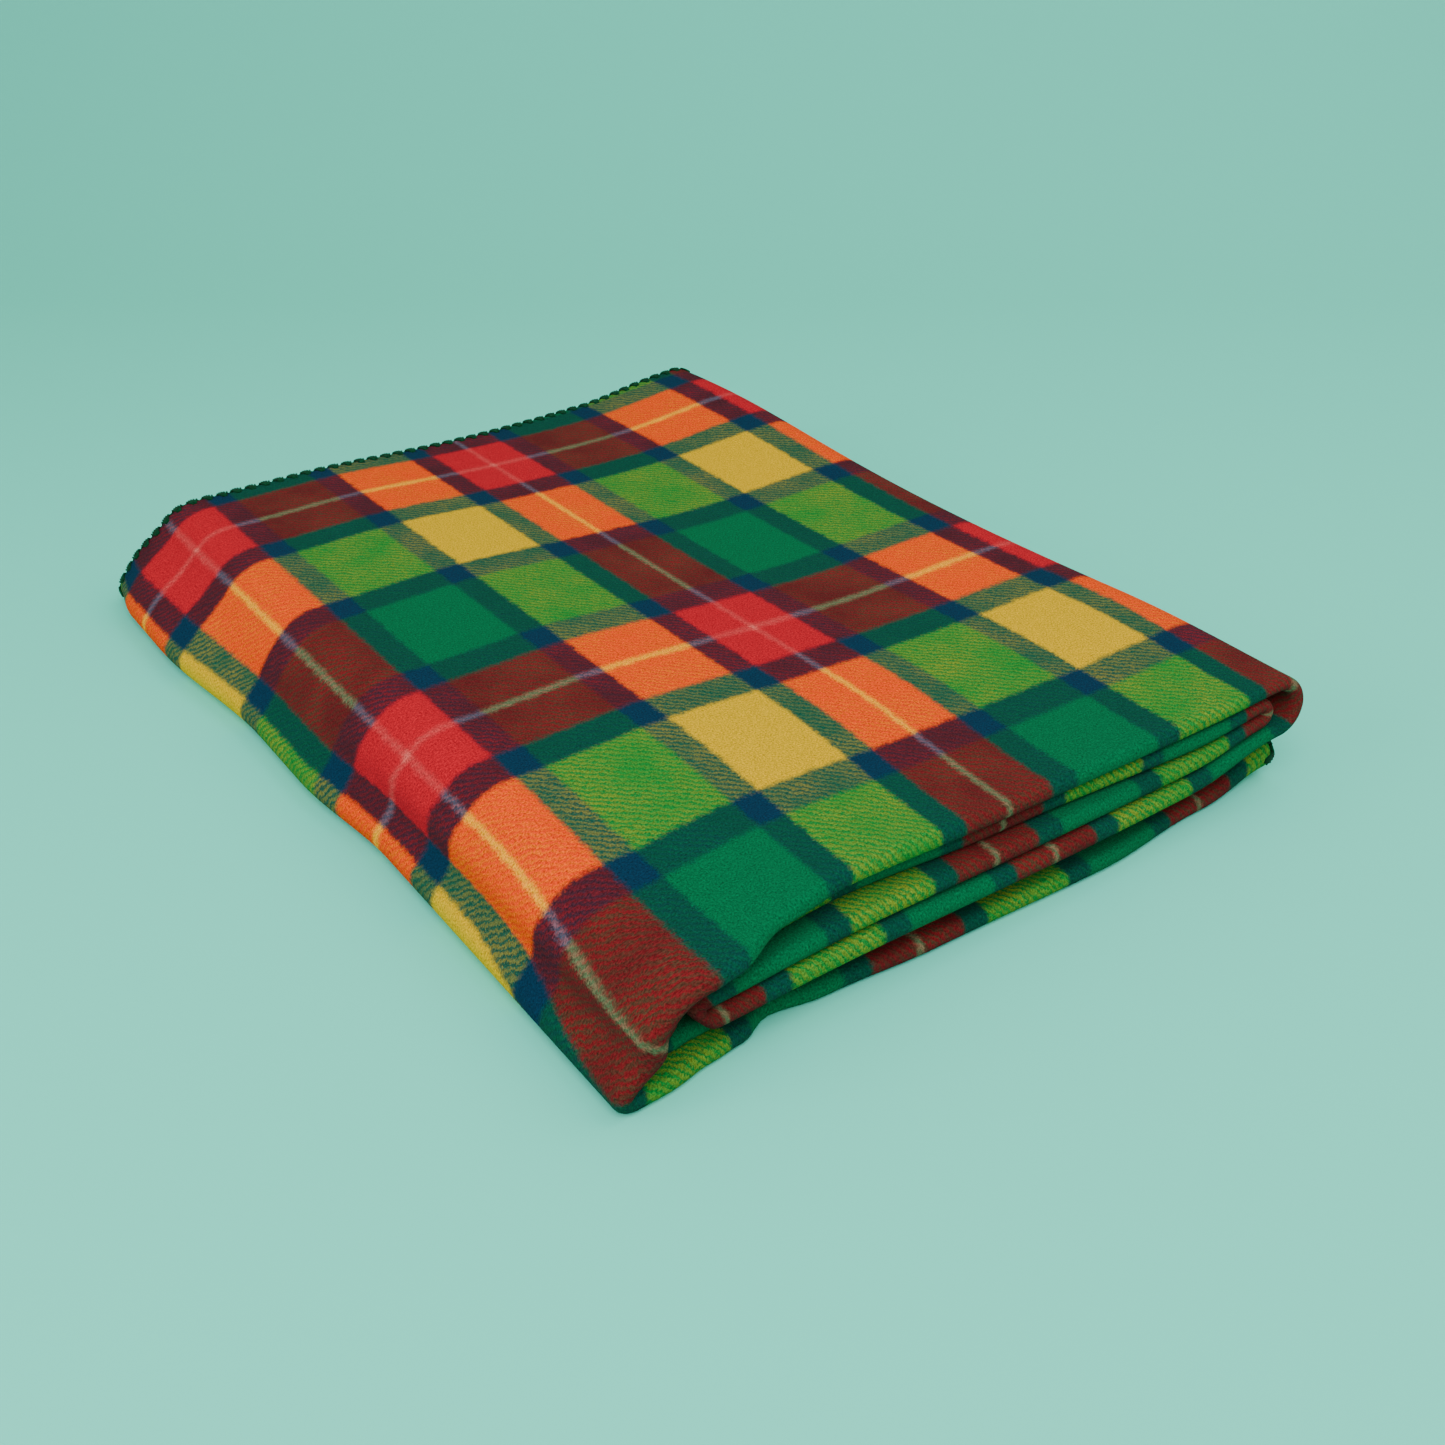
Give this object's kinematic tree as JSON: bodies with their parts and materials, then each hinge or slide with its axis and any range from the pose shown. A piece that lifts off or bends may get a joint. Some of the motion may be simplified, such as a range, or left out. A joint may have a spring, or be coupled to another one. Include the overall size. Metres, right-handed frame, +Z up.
{
  "type": "camp blanket",
  "caption": "Napped tartan camp blanket with an overlocked edge, folded into a flat rectangular packet that opens at its spine like a book.",
  "frame": {"origin": "under the middle of the folded packet, on the surface that it lies on", "axes": "+Z up through the stack of panels, +Y from the fold noses at the front to the stitched long edges at the back, +X from the closed spine at the left to the open side at the right"},
  "size_m": [0.322, 0.414, 0.0439],
  "materials": {
    "blanket_cloth": "brushed twill, matt, soft nap",
    "edge_thread": "spun overlock yarn, matt"
  },
  "bodies": {
    "base_third": {"bottom_panel": "blanket_cloth", "fifth_panel": "blanket_cloth", "outer_fold": "blanket_cloth", "inner_fold": "blanket_cloth", "edge_thread_a_base_outer": "edge_thread", "edge_thread_b_base_outer": "edge_thread", "edge_thread_a_base_inner": "edge_thread", "edge_thread_b_base_inner": "edge_thread", "end_thread_upper": "edge_thread", "end_thread_lower": "edge_thread"},
    "spine": {"outer_slope": "blanket_cloth", "inner_slope": "blanket_cloth", "edge_thread_a_outer_slope": "edge_thread", "edge_thread_b_outer_slope": "edge_thread", "edge_thread_a_inner_slope": "edge_thread", "edge_thread_b_inner_slope": "edge_thread"},
    "cover": {"top_panel": "blanket_cloth", "second_panel": "blanket_cloth", "third_panel": "blanket_cloth", "fourth_panel": "blanket_cloth", "outer_bend": "blanket_cloth", "inner_bend": "blanket_cloth", "left_curl": "blanket_cloth", "right_outer_roll": "blanket_cloth", "right_inner_roll": "blanket_cloth", "edge_thread_a_cover": "edge_thread", "edge_thread_b_cover": "edge_thread"}
  },
  "joints": [
    {"name": "spine_fold", "type": "hinge", "parent": "base_third", "child": "spine", "pos_m": [-0.1615, 0, 0.00715], "axis": [0, -1, 0], "range_deg": [0, 133]},
    {"name": "cover_fold", "type": "hinge", "parent": "spine", "child": "cover", "pos_m": [-0.1348, 0, 0.0388], "axis": [0, -1, 0], "range_deg": [0, 47]}
  ],
  "couplings": [
    {"joint": "cover_fold", "follows": "spine_fold", "ratio": 0.35338}
  ]
}
